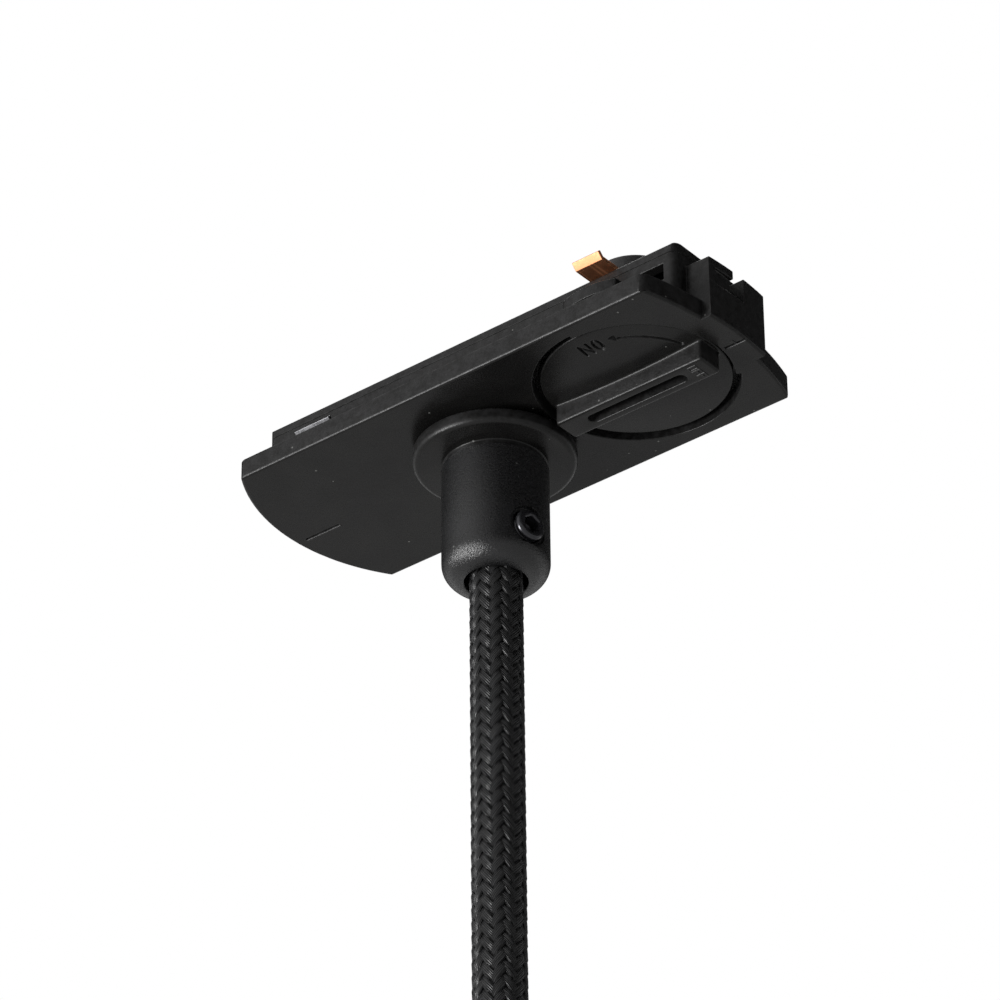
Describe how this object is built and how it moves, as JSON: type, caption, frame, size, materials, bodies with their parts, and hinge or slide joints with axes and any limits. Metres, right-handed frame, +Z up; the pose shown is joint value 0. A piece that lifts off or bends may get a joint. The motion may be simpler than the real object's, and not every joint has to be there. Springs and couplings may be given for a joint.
{
  "type": "track light adapter",
  "caption": "Flat black track adapter for a pendant light, with a turning lock knob with a grip bar, a round flange and cord grip with a set screw, and a straight braided cord.",
  "frame": {"origin": "middle of the plate's top face, where the adapter meets the track", "axes": "+X along the plate from its plain end to the knob end, +Y across the track, +Z up into the track"},
  "size_m": [0.0694, 0.0286, 0.1211],
  "materials": {
    "black_moulding": "fine moulded grain, satin black",
    "grip_black": "smooth satin black",
    "black_screw": "black oxide",
    "braid": "black textile braid",
    "dark_insulator": "matt moulded insulator",
    "copper": "rolled copper strip",
    "terminal_brass": "drawn brass",
    "spring_steel": "rolled spring steel",
    "plated_steel": "zinc plated",
    "brown_core": "soft core insulation",
    "blue_core": "soft core insulation",
    "green_core": "soft core insulation"
  },
  "bodies": {
    "adapter": {"base": "black_moulding", "top_cover": "black_moulding", "cover_screws": "plated_steel", "outlet": "black_moulding", "outlet_ring": "spring_steel", "cord_grip": "grip_black", "grip_screw": "black_screw", "cord": "braid", "live_core": "brown_core", "neutral_core": "blue_core", "earth_core": "green_core", "live_strip": "copper", "neutral_strip": "copper", "earth_spring": "spring_steel", "terminals": "terminal_brass", "terminal_screws": "plated_steel", "lamp_grip": "grip_black", "lamp_screw": "black_screw", "lamp_nipple": "plated_steel"},
    "knob": {"knob": "black_moulding", "lock_wing": "black_moulding", "turret": "dark_insulator", "live_contact": "copper", "neutral_contact": "copper", "spindle_washer": "plated_steel", "spindle_screw": "plated_steel"}
  },
  "joints": [
    {"name": "knob_turn", "type": "hinge", "parent": "adapter", "child": "knob", "pos_m": [0.02, 0, 0], "axis": [0, 0, 1], "range_deg": [0, 90]}
  ]
}
